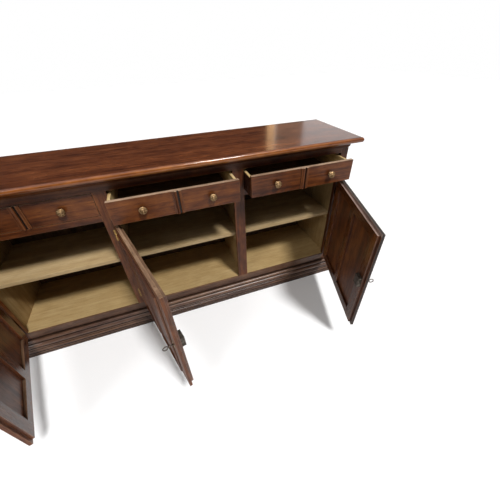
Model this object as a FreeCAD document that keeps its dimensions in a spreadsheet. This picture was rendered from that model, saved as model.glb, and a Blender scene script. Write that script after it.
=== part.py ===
import FreeCAD, Part
import os
from types import SimpleNamespace

import Sketcher

# Driving sizes in millimetres, angles in degrees.
SIZES = {
    # Carcass and face frame
    "carcass_height": 874.0,
    "carcass_depth": 390.0,
    "bay_width": 540.0,
    "end_stile_width": 40.0,
    "middle_stile_width": 54.0,
    "frame_thickness": 20.0,
    "top_rail_height": 52.0,
    "drawer_opening_height": 106.0,
    "drawer_rail_height": 28.0,
    "bottom_rail_height": 42.0,
    "bottom_rail_lip": 6.0,
    "plinth_height": 106.0,
    "end_panel_thickness": 20.0,
    "partition_thickness": 18.0,
    "bottom_board_thickness": 18.0,
    "back_thickness": 6.0,
    # Top board and the cove under it
    "top_thickness": 26.0,
    "top_side_overhang": 48.0,
    "top_front_overhang": 46.0,
    "top_nose_radius": 12.4,
    "cove_fillet": 4.0,
    "cove_radius": 16.0,
    "cove_cap": 3.0,
    # Plinth, skirting and reeded base moulding
    "plinth_board_thickness": 22.0,
    "plinth_setback": 4.0,
    "skirting_height": 40.0,
    "skirting_projection": 32.0,
    "skirting_round": 5.0,
    "low_bead": 9.0,
    "low_bead_seat": 22.0,
    "wide_bead": 29.0,
    "wide_bead_seat": 13.0,
    "high_bead": 20.0,
    "high_bead_seat": 8.0,
    # Shelves
    "shelf_thickness": 18.0,
    "shelf_top": 449.0,
    "shelf_setback": 40.0,
    "shelf_play": 0.5,
    "cleat_section": 20.0,
    "cleat_setback": 32.0,
    # Drawers and what they slide on
    "drawer_gap": 2.0,
    "drawer_front_thickness": 18.0,
    "drawer_side_thickness": 12.0,
    "drawer_side_inset": 3.0,
    "drawer_side_drop": 12.0,
    "drawer_box_depth": 330.0,
    "drawer_bottom_thickness": 6.0,
    "drawer_bottom_rise": 8.0,
    "drawer_groove_depth": 6.0,
    "drawer_running_gap": 0.3,
    "runner_thickness": 16.0,
    "runner_reach": 24.0,
    "guide_height": 18.0,
    "guide_clearance": 0.6,
    "kicker_thickness": 20.0,
    "kicker_clearance": 2.0,
    "strip_width": 22.0,
    "strip_projection": 9.0,
    "strip_round": 4.0,
    "strip_fillet_width": 8.0,
    "strip_fillet_thickness": 3.5,
    "drawer_pull_left": 0.0,
    "drawer_pull_middle": 109.0,
    "drawer_pull_right": 102.0,
    # Turned knobs
    "knob_radius": 16.5,
    "knob_length": 25.0,
    "knob_seat_height": 9.0,
    "knob_rim_height": 17.0,
    "knob_face_radius": 11.0,
    "knob_neck_radius": 7.0,
    # Lipped doors
    "door_lip": 10.0,
    "door_lip_thickness": 12.0,
    "door_inner_thickness": 11.0,
    "door_clearance": 1.5,
    "door_face_gap": 0.5,
    "door_stile_width": 66.0,
    "door_rail_width": 54.0,
    "door_muntin_width": 45.0,
    "panel_thickness": 8.0,
    "panel_setback": 4.0,
    "panel_groove_depth": 8.0,
    "panel_edge_play": 1.0,
    "field_rise": 5.0,
    "field_margin": 3.0,
    "field_bevel": 24.0,
    "bolection_lap": 10.0,
    "bolection_reach": 12.0,
    "bolection_rise": 7.0,
    "bolection_toe": 2.0,
    "bolection_round": 6.0,
    "door_open_left": 74.0,
    "door_open_middle": 74.0,
    "door_open_right": 71.0,
    # Loose pin hinges
    "hinge_offset": 6.0,
    "hinge_height": 60.0,
    "hinge_inset": 60.0,
    "hinge_barrel_radius": 4.0,
    "hinge_pin_radius": 2.5,
    "hinge_running_clearance": 0.05,
    "hinge_knuckle_gap": 0.3,
    "hinge_leaf_thickness": 1.5,
    "hinge_leaf_reach": 14.0,
    "hinge_leaf_width": 10.0,
    "hinge_pin_short": 3.0,
    # Rim locks, bolts, keys and keyhole plates
    "key_height": 418.0,
    "lock_width": 40.0,
    "lock_below_key": 16.0,
    "lock_above_key": 34.0,
    "lock_wall": 2.0,
    "lock_inset": 3.0,
    "lock_pin_radius": 1.3,
    "bolt_gap": 0.7,
    "bolt_thickness": 3.5,
    "bolt_height": 12.0,
    "bolt_rise": 10.0,
    "bolt_length": 30.0,
    "bolt_play": 0.3,
    "key_shank_radius": 3.0,
    "key_bit_radius": 9.0,
    "key_bit_width": 6.0,
    "key_bit_thickness": 2.2,
    "key_bow_radius": 11.5,
    "key_bow_eye_radius": 7.5,
    "key_bow_thickness": 4.0,
    "key_stand_out": 44.0,
    "key_end_gap": 1.5,
    "keyhole_clearance": 1.5,
    "keyhole_plate_width": 22.0,
    "keyhole_plate_height": 36.0,
    "keyhole_plate_clip": 5.0,
    "keyhole_plate_thickness": 1.5,
}

doc = FreeCAD.newDocument("sideboard")
sheet = doc.addObject("Spreadsheet::Sheet", "Sizes")
for row, (alias, number) in enumerate(SIZES.items(), start=1):
    sheet.set(f"A{row}", str(number))
    sheet.setAlias(f"A{row}", alias)
doc.recompute()


class Size:
    """A measure that keeps its number and the sheet formula that gives it."""

    def __init__(self, number, formula):
        self.number = number
        self.formula = formula

    def __add__(self, other):
        other = as_size(other)
        return Size(self.number + other.number, f"({self.formula} + {other.formula})")

    def __sub__(self, other):
        other = as_size(other)
        return Size(self.number - other.number, f"({self.formula} - {other.formula})")

    def __mul__(self, other):
        other = as_size(other)
        return Size(self.number * other.number, f"({self.formula} * {other.formula})")

    def __truediv__(self, other):
        other = as_size(other)
        return Size(self.number / other.number, f"({self.formula} / {other.formula})")

    def __neg__(self):
        return Size(-self.number, f"(-1 * {self.formula})")


def as_size(value):
    """Give a plain number the same form as a sheet size."""
    if isinstance(value, Size):
        return value
    return Size(float(value), repr(float(value)))


size = SimpleNamespace(**{alias: Size(number, f"Sizes.{alias}") for alias, number in SIZES.items()})
ZERO = as_size(0)
UPRIGHT = FreeCAD.Vector(0, 0, 1)
INWARDS = FreeCAD.Vector(0, 1, 0)
SIDEWAYS = FreeCAD.Vector(1, 0, 0)

# Planes and lines that several pieces share. The floor is z = 0, the middle of the carcass is x = y = 0.
bay_pitch = size.bay_width + size.middle_stile_width
half_width = size.bay_width * 1.5 + size.middle_stile_width + size.end_stile_width
inner_half_width = half_width - size.end_panel_thickness
face = -(size.carcass_depth / 2)
frame_back = face + size.frame_thickness
back = size.carcass_depth / 2
back_inside = back - size.back_thickness
opening_low = size.plinth_height + size.bottom_rail_height
top_rail_low = size.carcass_height - size.top_rail_height
drawer_rail_high = top_rail_low - size.drawer_opening_height
opening_high = drawer_rail_high - size.drawer_rail_height
bays = {"left": -1, "middle": 0, "right": 1}


def bind(thing, **formulas):
    """Tie the named properties of an object to sheet formulas."""
    for path, measure in formulas.items():
        thing.setExpression(path.replace("__", "."), as_size(measure).formula)


def board(name, x, y, z):
    """A rectangular board between three pairs of limits."""
    box = doc.addObject("Part::Box", name)
    bind(box, Length=x[1] - x[0], Width=y[1] - y[0], Height=z[1] - z[0])
    bind(box, Placement__Base__x=x[0], Placement__Base__y=y[0], Placement__Base__z=z[0])
    return box


def rod(name, radius, length, x=ZERO, y=ZERO, z=ZERO, along=UPRIGHT):
    """A round bar that starts at a point and runs along one axis."""
    bar = doc.addObject("Part::Cylinder", name)
    bar.Placement.Rotation = FreeCAD.Rotation(UPRIGHT, along)
    bind(bar, Radius=radius, Height=length)
    bind(bar, Placement__Base__x=x, Placement__Base__y=y, Placement__Base__z=z)
    return bar


def joined(name, pieces):
    """One solid made of pieces that run into each other."""
    fuse = doc.addObject("Part::MultiFuse", name)
    fuse.Shapes = pieces
    return fuse


def cut(name, base, tool):
    """A piece with the shape of another taken out."""
    cutter = doc.addObject("Part::Cut", name)
    cutter.Base = base
    cutter.Tool = tool
    return cutter


def subpart(label, solids, x=ZERO, y=ZERO, turn=None):
    """A named piece or group of like pieces, with its own place and turn about the upright."""
    group = doc.addObject("Part::Compound", label)
    group.Links = solids
    if turn is not None:
        group.Placement.Rotation = FreeCAD.Rotation(UPRIGHT, turn.number)
        bind(group, Placement__Rotation__Angle=turn)
    bind(group, Placement__Base__x=x, Placement__Base__y=y)
    return group


def arc(axis, centre, turn):
    """The edge that follows is round: one coordinate of its centre, and 1 to turn left or -1 right."""
    return SimpleNamespace(axis=axis, centre=as_size(centre), turn=turn)


def round_edge(start, end, bend):
    """An arc from start to end whose centre lies on the chord's perpendicular bisector."""
    middle = (start + end) / 2
    chord = end - start
    if bend.axis == "x":
        x = bend.centre.number
        y = middle.y - (x - middle.x) * chord.x / chord.y
    else:
        y = bend.centre.number
        x = middle.x - (y - middle.y) * chord.y / chord.x
    centre = FreeCAD.Vector(x, y, 0)
    first, last = (start, end) if bend.turn > 0 else (end, start)
    circle = Part.Circle(centre, UPRIGHT, (start - centre).Length)
    return Part.ArcOfCircle(circle, circle.parameter(first), circle.parameter(last))


def draw(body, plane, outlines):
    """A fully tied sketch of closed outlines on one of the body's own planes.

    Each corner is a pair of sizes, with an arc as a third entry where the edge after it is round.
    """
    sketch = body.newObject("Sketcher::SketchObject", f"{body.Name}_outline")
    support = next(item for item in body.Origin.OriginFeatures if item.Role == plane)
    sketch.AttachmentSupport = [(support, "")]
    sketch.MapMode = "FlatFace"
    for outline in outlines:
        first = sketch.GeometryCount
        corners = [(as_size(entry[0]), as_size(entry[1])) for entry in outline]
        spots = [FreeCAD.Vector(across.number, up.number, 0) for across, up in corners]
        ends = []
        for index, entry in enumerate(outline):
            start = spots[index]
            end = spots[(index + 1) % len(spots)]
            bend = entry[2] if len(entry) > 2 else None
            edge = Part.LineSegment(start, end) if bend is None else round_edge(start, end, bend)
            sketch.addGeometry(edge, False)
            ends.append((1, 2) if bend is None or bend.turn > 0 else (2, 1))
        for index, entry in enumerate(outline):
            edge = first + index
            follower = first + (index + 1) % len(outline)
            joint = (edge, ends[index][1], follower, ends[(index + 1) % len(outline)][0])
            sketch.addConstraint(Sketcher.Constraint("Coincident", *joint))
            for kind, measure in zip(("DistanceX", "DistanceY"), corners[index]):
                tie(sketch, kind, edge, ends[index][0], measure)
            if len(entry) > 2:
                tie(sketch, f"Distance{entry[2].axis.upper()}", edge, 3, entry[2].centre)
    return sketch


def tie(sketch, kind, edge, point, measure):
    """Hold one point of a sketch at a sheet formula's distance from the origin."""
    held = Sketcher.Constraint(kind, -1, 1, edge, point, measure.number)
    sketch.setExpression(f"Constraints[{sketch.addConstraint(held)}]", measure.formula)


def extrusion(name, plane, outline, start, end):
    """A length of one section, from start to end along the axis square to its plane."""
    body = doc.addObject("PartDesign::Body", name)
    sketch = draw(body, plane, [outline])
    pad = body.newObject("PartDesign::Pad", f"{name}_run")
    pad.Profile = sketch
    if plane == "XZ_Plane":
        start, end = -end, -start
    bind(sketch, AttachmentOffset__Base__z=start)
    bind(pad, Length=end - start)
    return body


def mitred_length(name, section, run, reach, mitres):
    """A moulding along x with its section in y and z, cut at 45 degrees at the ends named in mitres.

    The run is measured where y is zero; reach is the section's lowest and highest y.
    """
    low, high = reach
    half = run / 2
    start = -(half + high) if "start" in mitres else -half
    end = half + high if "end" in mitres else half
    body = extrusion(name, "YZ_Plane", section, start, end)
    body.Placement.Rotation = FreeCAD.Rotation(UPRIGHT, 0)
    waste = []
    if "start" in mitres:
        waste.append([(-(half + low), low), (-(half + high), low), (-(half + high), high)])
    if "end" in mitres:
        waste.append([(half + low, low), (half + high, low), (half + high, high)])
    saw = body.newObject("PartDesign::Pocket", f"{name}_mitres")
    saw.Profile = draw(body, "XY_Plane", waste)
    saw.SideType = "Symmetric"
    bind(saw, Length=size.carcass_height * 4)
    return body


def turned_to(body, rotation, x=ZERO, y=ZERO, z=ZERO):
    """Set a piece that was made along x into its own direction and place."""
    body.Placement.Rotation = rotation
    bind(body, Placement__Base__x=x, Placement__Base__y=y, Placement__Base__z=z)
    return body


def wrapped_moulding(label, section, reach):
    """A moulding mitred round the front and both ends of the carcass."""
    depth = back - face
    front = mitred_length(f"{label}_front", section, half_width * 2, reach, ("start", "end"))
    turned_to(front, FreeCAD.Rotation(UPRIGHT, 180), y=face)
    left = mitred_length(f"{label}_left", section, depth, reach, ("start",))
    turned_to(left, FreeCAD.Rotation(UPRIGHT, 90), x=-half_width)
    right = mitred_length(f"{label}_right", section, depth, reach, ("end",))
    turned_to(right, FreeCAD.Rotation(UPRIGHT, -90), x=half_width)
    return subpart(label, [front, left, right])


def top_board():
    """The long top with its front and end edges worked half round."""
    body = doc.addObject("PartDesign::Body", "top_slab")
    reach = half_width + size.top_side_overhang
    front = face - size.top_front_overhang
    sketch = draw(body, "XY_Plane", [[(-reach, front), (reach, front), (reach, back), (-reach, back)]])
    bind(sketch, AttachmentOffset__Base__z=size.carcass_height)
    pad = body.newObject("PartDesign::Pad", "top_slab_thickness")
    pad.Profile = sketch
    bind(pad, Length=size.top_thickness)
    doc.recompute()
    nosing = []
    for index, edge in enumerate(pad.Shape.Edges, start=1):
        box = edge.BoundBox
        level = box.ZLength < size.top_thickness.number / 2
        if level and box.YMin < back.number - size.top_front_overhang.number:
            nosing.append(f"Edge{index}")
    nose = body.newObject("PartDesign::Fillet", "top_nosing")
    nose.Base = (pad, nosing)
    bind(nose, Radius=size.top_nose_radius)
    return subpart("top_board", [body])


def cornice_moulding():
    """The cove that closes the angle between the face frame and the top."""
    low = size.carcass_height - size.cove_cap - size.cove_radius - size.cove_fillet
    start = low + size.cove_fillet
    rim = size.cove_fillet + size.cove_radius
    outer = rim + size.cove_fillet
    section = [
        (ZERO, low),
        (size.cove_fillet, low),
        (size.cove_fillet, start, arc("x", rim, -1)),
        (rim, start + size.cove_radius),
        (outer, start + size.cove_radius),
        (outer, size.carcass_height),
        (ZERO, size.carcass_height),
    ]
    return wrapped_moulding("cornice_moulding", section, (ZERO, outer))


def base_moulding():
    """Three reeds, each standing further out than the one above it."""
    seats = (size.low_bead_seat, size.wide_bead_seat, size.high_bead_seat)
    beads = (size.low_bead, size.wide_bead, size.high_bead)
    rear = -size.plinth_setback
    level = size.skirting_height
    section = [(rear, level)]
    for seat, bead in zip(seats, beads):
        section.append((seat, level, arc("x", seat, 1)))
        level = level + bead
        section.append((seat, level))
    section.append((rear, level))
    return wrapped_moulding("base_moulding", section, (rear, size.skirting_projection))


def skirting_boards():
    """The plain boards at the floor that carry the reeded moulding."""
    rear = -size.plinth_setback
    edge = size.skirting_projection - size.skirting_round
    section = [
        (rear, ZERO),
        (size.skirting_projection, ZERO),
        (size.skirting_projection, size.skirting_height - size.skirting_round, arc("x", edge, 1)),
        (edge, size.skirting_height),
        (rear, size.skirting_height),
    ]
    return wrapped_moulding("skirting_boards", section, (rear, size.skirting_projection))


def plinth_frame():
    """The hidden base frame: four boards, and bearers up to the bottom board."""
    thick = size.plinth_board_thickness
    outer = half_width - size.plinth_setback
    front = face + size.plinth_setback
    height = (ZERO, size.plinth_height)
    bearer_height = (ZERO, opening_low - size.bottom_board_thickness)
    inside = (front + thick, back - thick)
    pieces = [
        board("plinth_front", (-outer, outer), (front, front + thick), height),
        board("plinth_back", (-outer, outer), (back - thick, back), height),
        board("plinth_left", (-outer, thick - outer), inside, height),
        board("plinth_right", (outer - thick, outer), inside, height),
    ]
    for bay, place in bays.items():
        middle = bay_pitch * place / 2
        width = (middle - thick / 2, middle + thick / 2)
        pieces.append(board(f"bearer_{bay}", width, inside, bearer_height))
    return subpart("plinth_frame", pieces)


def face_frame():
    """Stiles and rails that make the front: ends and rails run through, middle stiles stand between."""
    depth = (face, frame_back)
    inner = half_width - size.end_stile_width
    tall = (size.plinth_height, size.carcass_height)
    ends = [
        board("end_stile_left", (-half_width, -inner), depth, tall),
        board("end_stile_right", (inner, half_width), depth, tall),
    ]
    between = (opening_low, top_rail_low)
    middles = []
    for side, sign in (("left", -1), ("right", 1)):
        centre = bay_pitch * sign / 2
        half = size.middle_stile_width / 2
        middles.append(board(f"middle_stile_{side}", (centre - half, centre + half), depth, between))
    rails = []
    for bay, place in bays.items():
        centre = bay_pitch * place
        width = (centre - size.bay_width / 2, centre + size.bay_width / 2)
        rails.append(board(f"drawer_rail_{bay}", width, depth, (opening_high, drawer_rail_high)))
    head = board("top_rail_board", (-inner, inner), depth, (top_rail_low, size.carcass_height))
    rebate = opening_low - size.bottom_board_thickness
    sill = [
        (face, size.plinth_height),
        (frame_back, size.plinth_height),
        (frame_back, rebate),
        (face + size.bottom_rail_lip, rebate),
        (face + size.bottom_rail_lip, opening_low),
        (face, opening_low),
    ]
    return [
        subpart("end_stiles", ends),
        subpart("middle_stiles", middles),
        subpart("drawer_rails", rails),
        subpart("top_rail", [head]),
        subpart("bottom_rail", [extrusion("bottom_rail_sill", "YZ_Plane", sill, -inner, inner)]),
    ]


def carcass_boards():
    """Ends, partitions, bottom and back behind the face frame."""
    depth = (frame_back, back)
    tall = (size.plinth_height, size.carcass_height)
    ends = [
        board("end_panel_left", (-half_width, -inner_half_width), depth, tall),
        board("end_panel_right", (inner_half_width, half_width), depth, tall),
    ]
    walls = []
    wall_height = (opening_low, size.carcass_height)
    for side, sign in (("left", -1), ("right", 1)):
        centre = bay_pitch * sign / 2
        half = size.partition_thickness / 2
        width = (centre - half, centre + half)
        walls.append(board(f"partition_{side}", width, (frame_back, back_inside), wall_height))
    inner = half_width - size.end_stile_width
    tongue = face + size.bottom_rail_lip
    floor = [
        (-inner, tongue),
        (inner, tongue),
        (inner, frame_back),
        (inner_half_width, frame_back),
        (inner_half_width, back_inside),
        (-inner_half_width, back_inside),
        (-inner_half_width, frame_back),
        (-inner, frame_back),
    ]
    underside = opening_low - size.bottom_board_thickness
    bottom = extrusion("bottom_plate", "XY_Plane", floor, underside, opening_low)
    sheet_of_back = board("back_sheet", (-inner_half_width, inner_half_width), (back_inside, back), tall)
    return [
        subpart("end_panels", ends),
        subpart("partitions", walls),
        subpart("bottom_board", [bottom]),
        subpart("back_panel", [sheet_of_back]),
    ]


def bay_walls(place):
    """The inner faces to the left and right of one bay."""
    near = bay_pitch / 2 - size.partition_thickness / 2
    if place == 0:
        return -near, near
    if place < 0:
        return -inner_half_width, -(bay_pitch / 2 + size.partition_thickness / 2)
    return bay_pitch / 2 + size.partition_thickness / 2, inner_half_width


def shelves():
    """One loose shelf in each bay, laid on a pair of cleats."""
    underside = size.shelf_top - size.shelf_thickness
    made = []
    cleats = []
    for bay, place in bays.items():
        left, right = bay_walls(place)
        width = (left + size.shelf_play, right - size.shelf_play)
        depth = (face + size.shelf_setback, back_inside)
        plank = board(f"shelf_plank_{bay}", width, depth, (underside, size.shelf_top))
        made.append(subpart(f"shelf_{bay}", [plank]))
        rise = (underside - size.cleat_section, underside)
        run = (face + size.cleat_setback, back_inside)
        cleats.append(board(f"cleat_{bay}_left", (left, left + size.cleat_section), run, rise))
        cleats.append(board(f"cleat_{bay}_right", (right - size.cleat_section, right), run, rise))
    made.append(subpart("shelf_cleats", cleats))
    return made


def drawer_runners():
    """Runners with a side guide under each drawer, and kickers above it that keep it from tipping."""
    run = (frame_back, back_inside)
    seat = drawer_rail_high
    side_top = top_rail_low - size.drawer_gap - size.drawer_side_drop
    runners = []
    kickers = []
    for bay, place in bays.items():
        centre = bay_pitch * place
        for wall, side, sign in zip(bay_walls(place), ("left", "right"), (-1, 1)):
            opening = centre + size.bay_width * sign / 2
            reach = opening - size.runner_reach * sign
            guide = opening - (size.drawer_side_inset - size.guide_clearance) * sign
            section = [
                (wall, seat - size.runner_thickness),
                (reach, seat - size.runner_thickness),
                (reach, seat),
                (guide, seat),
                (guide, seat + size.guide_height),
                (wall, seat + size.guide_height),
            ]
            runners.append(extrusion(f"runner_{bay}_{side}", "XZ_Plane", section, *run))
            width = (wall, reach) if sign < 0 else (reach, wall)
            low = side_top + size.kicker_clearance
            kickers.append(board(f"kicker_{bay}_{side}", width, run, (low, low + size.kicker_thickness)))
    return [subpart("drawer_runners", runners), subpart("drawer_kickers", kickers)]


def turned_knob(name, x, z):
    """A knob turned about y: neck, flared head, bevel and flat face."""
    body = doc.addObject("PartDesign::Body", name)
    foot = face
    tip = foot - size.knob_length
    outline = [
        (ZERO, foot),
        (size.knob_neck_radius, foot),
        (size.knob_neck_radius, foot - size.knob_seat_height),
        (size.knob_radius, foot - size.knob_rim_height),
        (size.knob_face_radius, tip),
        (ZERO, tip),
    ]
    sketch = draw(body, "XY_Plane", [outline])
    lathe = body.newObject("PartDesign::Revolution", f"{name}_turning")
    lathe.Profile = sketch
    lathe.ReferenceAxis = (sketch, ["V_Axis"])
    lathe.Angle = 360
    return turned_to(body, FreeCAD.Rotation(UPRIGHT, 0), x=x, z=z)


def drawer(bay, place, pull):
    """One drawer, made shut and then drawn out by its pull."""
    centre = bay_pitch * place
    half = size.bay_width / 2 - size.drawer_gap
    low = drawer_rail_high + size.drawer_gap
    high = top_rail_low - size.drawer_gap
    rear = face + size.drawer_front_thickness
    name = f"drawer_{bay}"
    front = board(f"{name}_board", (centre - half, centre + half), (face, rear), (low, high))

    edge = size.strip_width / 2
    wing = edge + size.strip_fillet_width
    fillet = face - size.strip_fillet_thickness
    crown = face - size.strip_projection
    shoulder = crown + size.strip_round
    strip = [
        (centre - wing, face),
        (centre - wing, fillet),
        (centre - edge, fillet),
        (centre - edge, shoulder, arc("y", shoulder, 1)),
        (centre - edge + size.strip_round, crown),
        (centre + edge - size.strip_round, crown, arc("y", shoulder, 1)),
        (centre + edge, shoulder),
        (centre + edge, fillet),
        (centre + wing, fillet),
        (centre + wing, face),
    ]

    outer = size.bay_width / 2 - size.drawer_side_inset
    inner = outer - size.drawer_side_thickness
    foot = drawer_rail_high + size.drawer_running_gap
    groove_low = foot + size.drawer_bottom_rise
    groove_high = groove_low + size.drawer_bottom_thickness
    side_top = high - size.drawer_side_drop
    box_back = rear + size.drawer_box_depth
    groove = inner + size.drawer_groove_depth
    box = []
    for side, sign in (("left", -1), ("right", 1)):
        section = [
            (centre + outer * sign, foot),
            (centre + outer * sign, side_top),
            (centre + inner * sign, side_top),
            (centre + inner * sign, groove_high),
            (centre + groove * sign, groove_high),
            (centre + groove * sign, groove_low),
            (centre + inner * sign, groove_low),
            (centre + inner * sign, foot),
        ]
        box.append(extrusion(f"{name}_side_{side}", "XZ_Plane", section, rear, box_back))
    back_run = (box_back - size.drawer_side_thickness, box_back)
    box.append(board(f"{name}_rear", (centre - inner, centre + inner), back_run, (groove_high, side_top)))
    base_width = (centre - groove, centre + groove)
    base = board(f"{name}_base", base_width, (rear, box_back), (groove_low, groove_high))

    field = (half + wing) / 2
    level = (low + high) / 2
    knobs = [
        turned_knob(f"{name}_knob_left", centre - field, level),
        turned_knob(f"{name}_knob_right", centre + field, level),
    ]
    return [
        subpart(f"{name}_front", [front], y=-pull),
        subpart(f"{name}_strip", [extrusion(f"{name}_bead", "XY_Plane", strip, low, high)], y=-pull),
        subpart(f"{name}_box", box, y=-pull),
        subpart(f"{name}_bottom", [base], y=-pull),
        subpart(f"{name}_knobs", knobs, y=-pull),
    ]


# Door sizes that its pieces share. Along the leaf they run from the hinge axis, in depth from it too.
lip_front = -(size.door_lip_thickness / 2)
lip_back = size.door_lip_thickness / 2
inner_face = lip_back + size.door_inner_thickness
hinge_edge = size.hinge_offset
opening_start = size.hinge_offset + size.door_lip
opening_end = opening_start + size.bay_width
free_edge = opening_end + size.door_lip
door_low = opening_low - size.door_lip
door_high = opening_high + size.door_lip
rebate_low = opening_low + size.door_clearance
rebate_high = opening_high - size.door_clearance
panel_low = door_low + size.door_rail_width
panel_high = door_high - size.door_rail_width
panel_front = lip_front + size.panel_setback
panel_back = panel_front + size.panel_thickness
first_stile_end = hinge_edge + size.door_stile_width
last_stile_start = free_edge - size.door_stile_width
leaf_middle = (first_stile_end + last_stile_start) / 2
panel_spans = (
    (first_stile_end, leaf_middle - size.door_muntin_width / 2),
    (leaf_middle + size.door_muntin_width / 2, last_stile_start),
)
hinge_axis_y = face - size.door_face_gap - lip_back
lock_end = opening_end - size.door_clearance - size.lock_inset
key_along = lock_end - size.lock_width / 2
bolt_front = lip_back + size.door_face_gap + size.frame_thickness + size.bolt_gap
bolt_back = bolt_front + size.bolt_thickness
lock_inside = bolt_back + size.bolt_play
lock_back = lock_inside + size.lock_wall
hinge_levels = {
    "low": door_low + size.hinge_inset,
    "high": door_high - size.hinge_inset - size.hinge_height,
}


def along(hand, low, high):
    """A stretch of the leaf from the hinge axis, to the right for hand 1 and to the left for hand -1."""
    return (low, high) if hand > 0 else (-high, -low)


def rail_section(outer, inner, rebate, sign):
    """A grooved and lipped rail in depth and height, with its groove on the side that sign points to."""
    groove = inner - size.panel_groove_depth * sign
    return [
        (lip_front, outer),
        (lip_front, inner),
        (panel_front, inner),
        (panel_front, groove),
        (panel_back, groove),
        (panel_back, inner),
        (inner_face, inner),
        (inner_face, rebate),
        (lip_back, rebate),
        (lip_back, outer),
    ]


def end_rebates(name, hand, start, end):
    """What is cut from both ends of a stile, so that the lip goes round all four edges of the door."""
    span = along(hand, start, end)
    depth = (lip_back, inner_face)
    return [
        board(f"{name}_low_rebate", span, depth, (door_low, rebate_low)),
        board(f"{name}_high_rebate", span, depth, (rebate_high, door_high)),
    ]


def door_stiles(name, hand):
    """The hinge stile and the lock stile, which is bored for the key."""
    hinge_rebate = opening_start + size.door_clearance
    lock_rebate = opening_end - size.door_clearance
    hinge_section = rail_section(hinge_edge, first_stile_end, hinge_rebate, 1)
    lock_section = rail_section(free_edge, last_stile_start, lock_rebate, -1)
    keyway = keyhole(f"{name}_stile", hand, lip_front, inner_face)
    stiles = []
    for piece, section, span, holes in (
        ("hinge_stile", hinge_section, (hinge_edge, first_stile_end), []),
        ("lock_stile", lock_section, (last_stile_start, free_edge), [keyway]),
    ):
        outline = [(across * hand, deep) for deep, across in section]
        bar = extrusion(f"{name}_{piece}_bar", "XY_Plane", outline, door_low, door_high)
        waste = end_rebates(f"{name}_{piece}", hand, *span) + holes
        stiles.append(cut(f"{name}_{piece}", bar, joined(f"{name}_{piece}_waste", waste)))
    return stiles


def door_frame(name, hand):
    """Two stiles, two rails and a muntin, grooved for the panels and tenoned into the same grooves."""
    depth = size.panel_groove_depth
    tenon = depth - size.panel_edge_play
    pieces = door_stiles(name, hand)
    between = along(hand, first_stile_end, last_stile_start)
    tenon_run = along(hand, first_stile_end - tenon, last_stile_start + tenon)
    tenon_depth = (panel_front, panel_back)
    low_section = rail_section(door_low, panel_low, rebate_low, 1)
    high_section = rail_section(door_high, panel_high, rebate_high, -1)
    for piece, section, height in (
        ("low_rail", low_section, (door_low, panel_low - depth)),
        ("high_rail", high_section, (panel_high + depth, door_high)),
    ):
        bar = extrusion(f"{name}_{piece}_bar", "YZ_Plane", section, *between)
        tenons = board(f"{name}_{piece}_tenons", tenon_run, tenon_depth, height)
        pieces.append(joined(f"{name}_{piece}", [bar, tenons]))
    half = size.door_muntin_width / 2
    middle = leaf_middle * hand
    muntin = [
        (middle - half, lip_front),
        (middle + half, lip_front),
        (middle + half, panel_front),
        (middle + half - depth, panel_front),
        (middle + half - depth, panel_back),
        (middle + half, panel_back),
        (middle + half, inner_face),
        (middle - half, inner_face),
        (middle - half, panel_back),
        (middle - half + depth, panel_back),
        (middle - half + depth, panel_front),
        (middle - half, panel_front),
    ]
    bar = extrusion(f"{name}_muntin_bar", "XY_Plane", muntin, panel_low, panel_high)
    width = (middle - half + depth, middle + half - depth)
    tenons = board(f"{name}_muntin_tenons", width, tenon_depth, (panel_low - tenon, panel_high + tenon))
    pieces.append(joined(f"{name}_muntin", [bar, tenons]))
    return pieces


def keyhole(name, hand, front, rear):
    """The way for the key: a round hole with a slot below it for the bit."""
    radius = size.key_shank_radius + size.keyhole_clearance
    half = size.key_bit_thickness / 2 + size.keyhole_clearance / 2
    centre = key_along * hand
    hole = rod(f"{name}_hole", radius, rear - front, centre, front, size.key_height, INWARDS)
    foot = size.key_height - size.key_bit_radius - size.keyhole_clearance
    slot = board(f"{name}_slot", (centre - half, centre + half), (front, rear), (foot, size.key_height))
    return joined(f"{name}_keyhole", [hole, slot])


def door_panels(name, hand):
    """Two panels set in the grooves, each with a raised and bevelled field on the outside."""
    tongue = size.panel_groove_depth - size.panel_edge_play
    margin = size.bolection_reach + size.field_margin
    shoulder = margin + size.field_bevel
    panels = []
    for index, (start, end) in enumerate(panel_spans, start=1):
        width = along(hand, start - tongue, end + tongue)
        height = (panel_low - tongue, panel_high + tongue)
        sheet_of_wood = board(f"{name}_sheet_{index}", width, (panel_front, panel_back), height)
        low, high = along(hand, start, end)
        field = doc.addObject("Part::Wedge", f"{name}_field_{index}")
        bind(field, Ymin=panel_front - size.field_rise, Ymax=panel_front)
        bind(field, Xmin=low + shoulder, Xmax=high - shoulder)
        bind(field, Zmin=panel_low + shoulder, Zmax=panel_high - shoulder)
        bind(field, X2min=low + margin, X2max=high - margin)
        bind(field, Z2min=panel_low + margin, Z2max=panel_high - margin)
        panels.append(joined(f"{name}_panel_{index}", [sheet_of_wood, field]))
    return panels


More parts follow.
